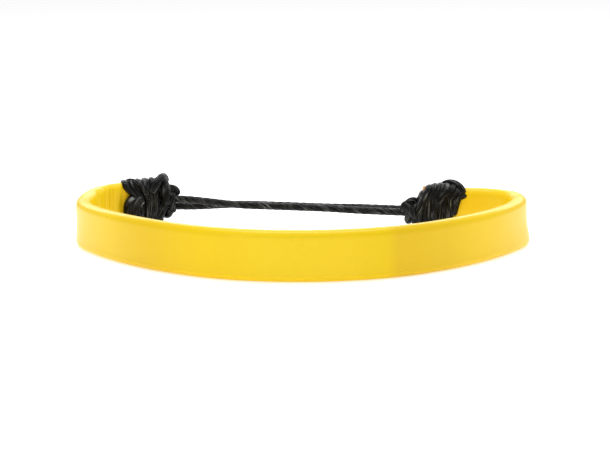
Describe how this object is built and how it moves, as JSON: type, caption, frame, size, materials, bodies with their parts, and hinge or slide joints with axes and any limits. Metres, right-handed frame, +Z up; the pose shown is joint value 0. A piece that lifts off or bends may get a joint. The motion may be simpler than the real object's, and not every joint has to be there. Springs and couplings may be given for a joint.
{
  "type": "adjustable leather strap bracelet",
  "caption": "Open oval leather strap bracelet, its bound ends joined by parallel cords with sliding knots that loosen or tighten it.",
  "frame": {"origin": "centre of the bounding box at its base, on the surface the strap's lower edge stands on", "axes": "+Z up along the strap's width; +X across the oval's long way, to the wearer's right; +Y from the strap's middle towards the cord closure"},
  "size_m": [0.065, 0.0436, 0.0079],
  "materials": {
    "leather": "smooth semi-gloss",
    "cord": "waxed twisted cord"
  },
  "bodies": {
    "strap_middle": {"strap_front": "leather"},
    "left_arm": {"strap_left_end": "leather", "left_binding": "cord", "left_binding_knot": "cord"},
    "right_arm": {"strap_right_end": "leather", "right_binding": "cord"},
    "left_cord_pair": {"left_cord": "cord", "right_sliding_knot": "cord"},
    "right_cord_pair": {"right_cord": "cord", "left_sliding_knot": "cord"}
  },
  "joints": [
    {"name": "left_flex", "type": "hinge", "parent": "strap_middle", "child": "left_arm", "pos_m": [-0.02086, -0.01094, 0.0035], "axis": [0, 0, 1], "range_deg": [0, 36]},
    {"name": "right_flex", "type": "hinge", "parent": "strap_middle", "child": "right_arm", "pos_m": [0.02561, -0.00612, 0.0035], "axis": [0, 0, -1], "range_deg": [0, 18.21]},
    {"name": "left_cord_bend", "type": "hinge", "parent": "left_arm", "child": "left_cord_pair", "pos_m": [-0.01933, 0.01955, 0.0036], "axis": [0, 0, -1], "range_deg": [0, 24.89]},
    {"name": "right_cord_bend", "type": "hinge", "parent": "right_arm", "child": "right_cord_pair", "pos_m": [0.0172, 0.01272, 0.0036], "axis": [0, 0, 1], "range_deg": [0, 29.32]}
  ],
  "couplings": [
    {"joint": "right_flex", "follows": "left_flex", "ratio": 0.5058},
    {"joint": "left_cord_bend", "follows": "left_flex", "ratio": 0.6913},
    {"joint": "right_cord_bend", "follows": "left_flex", "ratio": 0.8145}
  ]
}
